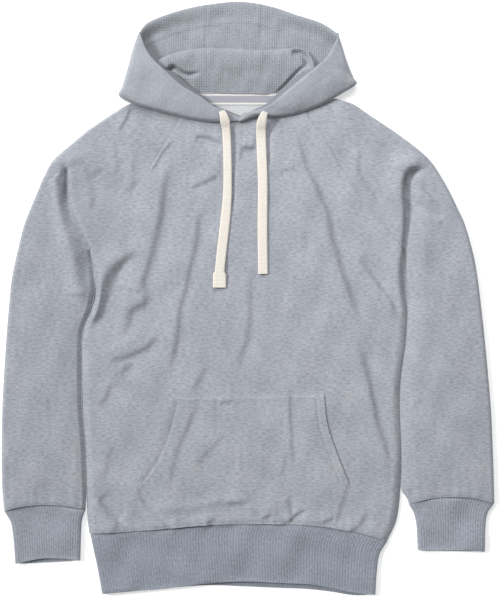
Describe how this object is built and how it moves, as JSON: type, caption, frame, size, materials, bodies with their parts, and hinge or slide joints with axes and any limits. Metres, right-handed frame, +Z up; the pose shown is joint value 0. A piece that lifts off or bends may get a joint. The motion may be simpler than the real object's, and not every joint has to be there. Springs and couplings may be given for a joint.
{
  "type": "pullover hoodie",
  "caption": "Marl fleece pullover hoodie with raglan sleeves, kangaroo pocket, ribbed cuffs and hem, a waffle-lined hood and flat drawcords, laid flat on its back.",
  "frame": {"origin": "middle of the laid-out garment, on the surface that it lies on", "axes": "+Z up out of the front, +Y from the hem to the hood, +X to the right for a viewer at the hem"},
  "size_m": [0.7153, 0.8615, 0.0267],
  "materials": {
    "fleece": "matt marl fleece",
    "rib": "matt rib knit",
    "lining": "matt waffle knit",
    "tape": "woven tape",
    "label": "smooth woven label, blank",
    "cord": "flat woven cotton cord"
  },
  "bodies": {
    "root": {"body_front": "fleece", "body_back": "fleece", "sleeve_left": "fleece", "sleeve_right": "fleece", "pocket": "fleece", "hood_left": "fleece", "hood_right": "fleece", "hood_centre": "fleece", "cuff_left": "rib", "cuff_right": "rib", "hem_band": "rib", "lining_left": "lining", "lining_right": "lining", "lining_centre": "lining", "neck_tape": "tape", "neck_label": "label", "drawcord_left": "cord", "drawcord_right": "cord"}
  },
  "joints": []
}
